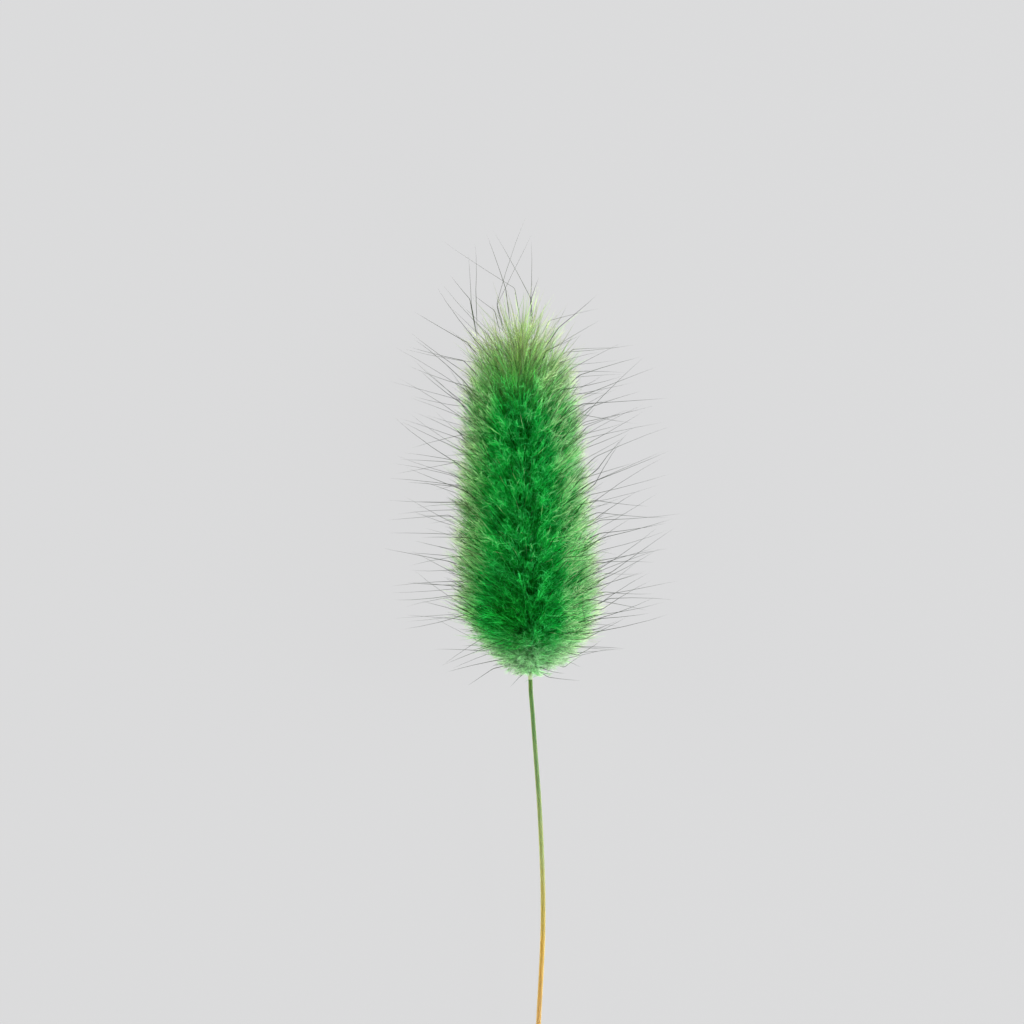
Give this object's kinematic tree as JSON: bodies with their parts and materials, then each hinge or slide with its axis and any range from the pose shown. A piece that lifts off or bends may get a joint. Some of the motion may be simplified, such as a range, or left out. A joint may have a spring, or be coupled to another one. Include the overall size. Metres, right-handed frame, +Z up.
{
  "type": "dried bunny tail grass",
  "caption": "Single dried, green-dyed bunny tail grass: a furry ovoid seed head with fine bent awns on a thin bare stem, laid on a surface.",
  "frame": {"origin": "on the surface the part lies on, in the middle of the flat spot under the head", "axes": "+Z up from the surface, +Y along the plant towards the tip of the head, +X to the right seen from above"},
  "size_m": [0.0385, 0.211, 0.0274],
  "materials": {
    "straw_stem": "smooth dry straw, green near the head and golden towards the cut",
    "green_fur": "soft plant hair, dyed green, paler at the hair tips"
  },
  "bodies": {
    "root": {"stem": "straw_stem", "head": "green_fur"}
  },
  "joints": []
}
